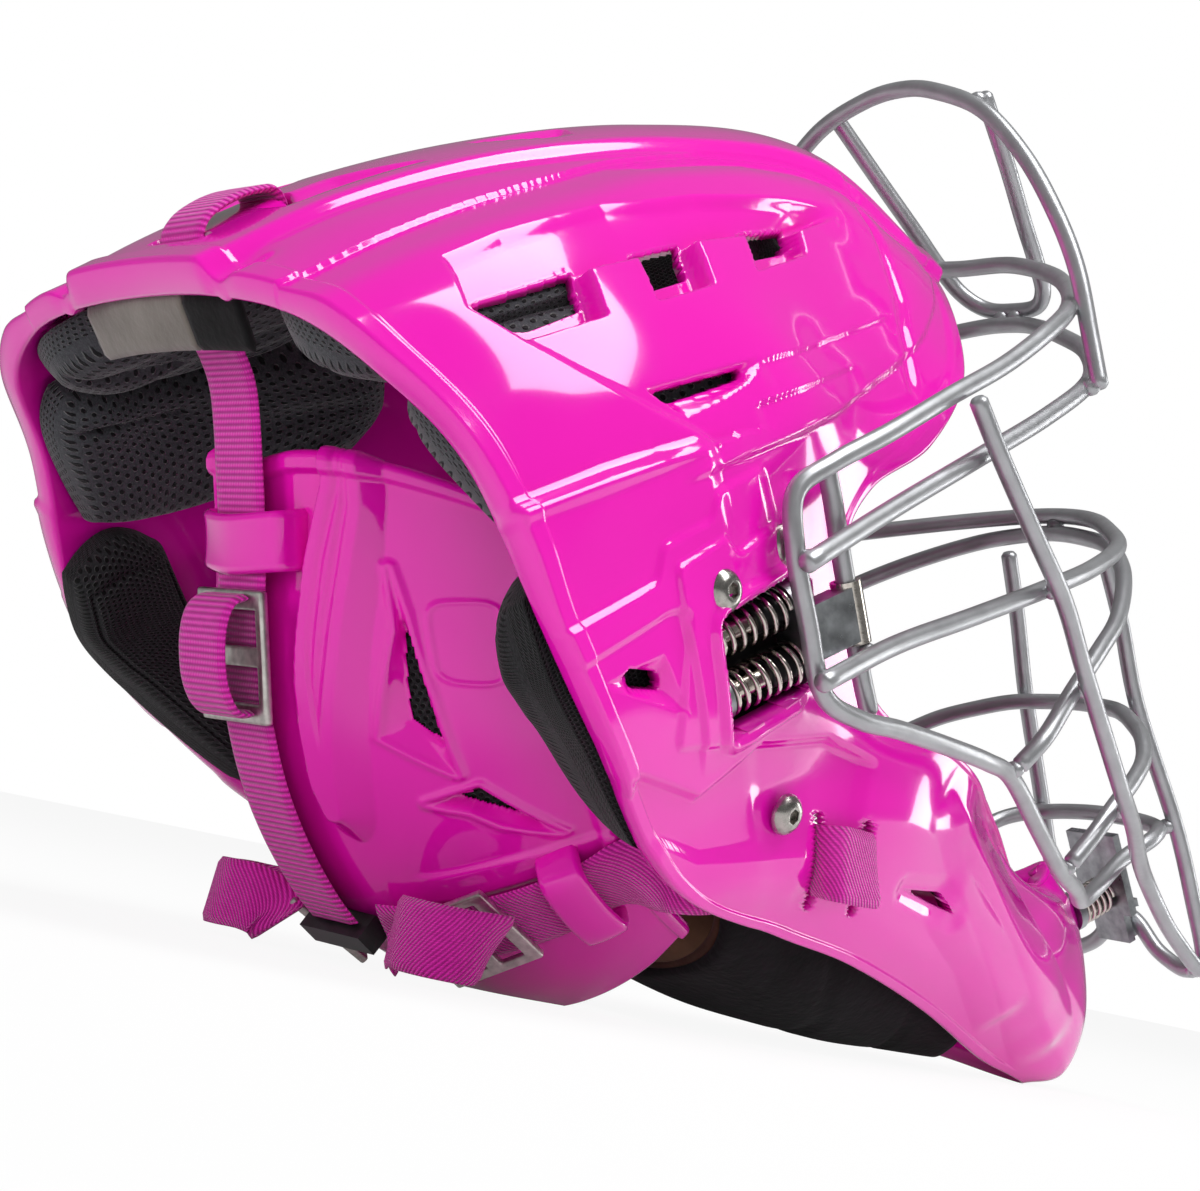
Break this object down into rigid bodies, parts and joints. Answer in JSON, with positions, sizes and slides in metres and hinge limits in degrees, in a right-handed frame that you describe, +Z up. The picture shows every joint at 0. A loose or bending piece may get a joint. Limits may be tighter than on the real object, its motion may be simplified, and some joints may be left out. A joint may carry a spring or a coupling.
{
  "type": "baseball catcher helmet",
  "caption": "Moulded catcher helmet with a wire face cage sliding on springs, padded lining, throat cup and a nape plate hung on straps.",
  "frame": {"origin": "on the ground, under the middle of the bounding box, with the helmet resting on its chin and the lip of its nape plate", "axes": "+X to the front of the helmet, +Y to the left of the wearer, +Z up; the XZ plane is the plane of symmetry"},
  "size_m": [0.3466, 0.2242, 0.2504],
  "materials": {
    "shell_gloss": "gloss",
    "cage_wire": "satin",
    "screw_steel": "satin",
    "grey_mesh_pad": "perforated mesh",
    "black_pad": "matt",
    "brown_leather": "matt",
    "black_plastic": "matt",
    "spring_wire": "bright",
    "pink_webbing": "woven",
    "zinc_steel": "zinc plated"
  },
  "bodies": {
    "shell_body": {"shell": "shell_gloss", "side_screws": "screw_steel", "crown_pad_left": "grey_mesh_pad", "crown_pad_right": "grey_mesh_pad", "temple_pad_left": "grey_mesh_pad", "temple_pad_right": "grey_mesh_pad", "forehead_pad": "black_pad", "ear_pad_left": "black_pad", "ear_pad_right": "black_pad", "jaw_pad_left": "black_pad", "jaw_pad_right": "black_pad", "throat_cup": "brown_leather", "throat_cup_rim": "black_pad", "crown_tab": "black_pad", "spring_housing_left": "black_plastic", "spring_housing_right": "black_plastic", "rear_plate_left": "zinc_steel", "rear_plate_right": "zinc_steel", "chin_rear_plate": "zinc_steel", "top_strap_loop": "pink_webbing", "cheek_loop_left": "pink_webbing", "cheek_loop_right": "pink_webbing"},
    "cage_body": {"cage_rim_wire": "cage_wire", "cage_bar_brow": "cage_wire", "cage_bar_nose": "cage_wire", "cage_bar_lip": "cage_wire", "cage_bar_chin": "cage_wire", "cage_arch": "cage_wire", "cage_v_wire": "cage_wire", "cage_leg_left": "cage_wire", "cage_leg_right": "cage_wire", "cage_post_left": "cage_wire", "cage_post_right": "cage_wire", "cage_chin_wire": "cage_wire", "front_bracket_left": "zinc_steel", "front_bracket_right": "zinc_steel", "post_sleeves": "zinc_steel", "shoulder_bolts_left": "zinc_steel", "shoulder_bolts_right": "zinc_steel", "guide_sleeves": "black_plastic", "springs_left": "spring_wire", "springs_right": "spring_wire", "chin_spring": "spring_wire", "chin_bolt": "zinc_steel", "chin_sleeve": "black_plastic", "chin_bracket": "zinc_steel"},
    "nape_body": {"nape_plate": "shell_gloss", "nape_pad": "black_pad", "top_strap": "pink_webbing", "top_buckle": "zinc_steel", "top_strap_tail": "pink_webbing", "strap_hook": "black_plastic", "side_buckle_left": "zinc_steel", "side_buckle_right": "zinc_steel", "side_tail_left": "pink_webbing", "side_tail_right": "pink_webbing", "side_strap_left": "pink_webbing", "side_strap_right": "pink_webbing"}
  },
  "joints": [
    {"name": "cage_slide", "type": "slide", "parent": "shell_body", "child": "cage_body", "axis": [0.8425, 0, 0.5388], "range_m": [-0.006, 0], "stiffness_N_per_m": 3000, "springref_m": 0.004, "deforming": ["springs_left", "springs_right", "chin_spring"]},
    {"name": "nape_swing", "type": "hinge", "parent": "shell_body", "child": "nape_body", "pos_m": [-0.15439, 0, 0.15431], "axis": [0, 1, 0], "range_deg": [0, 15], "stiffness_Nm_per_rad": 4, "springref_deg": -8.59, "deforming": ["side_strap_left", "side_strap_right"]}
  ]
}
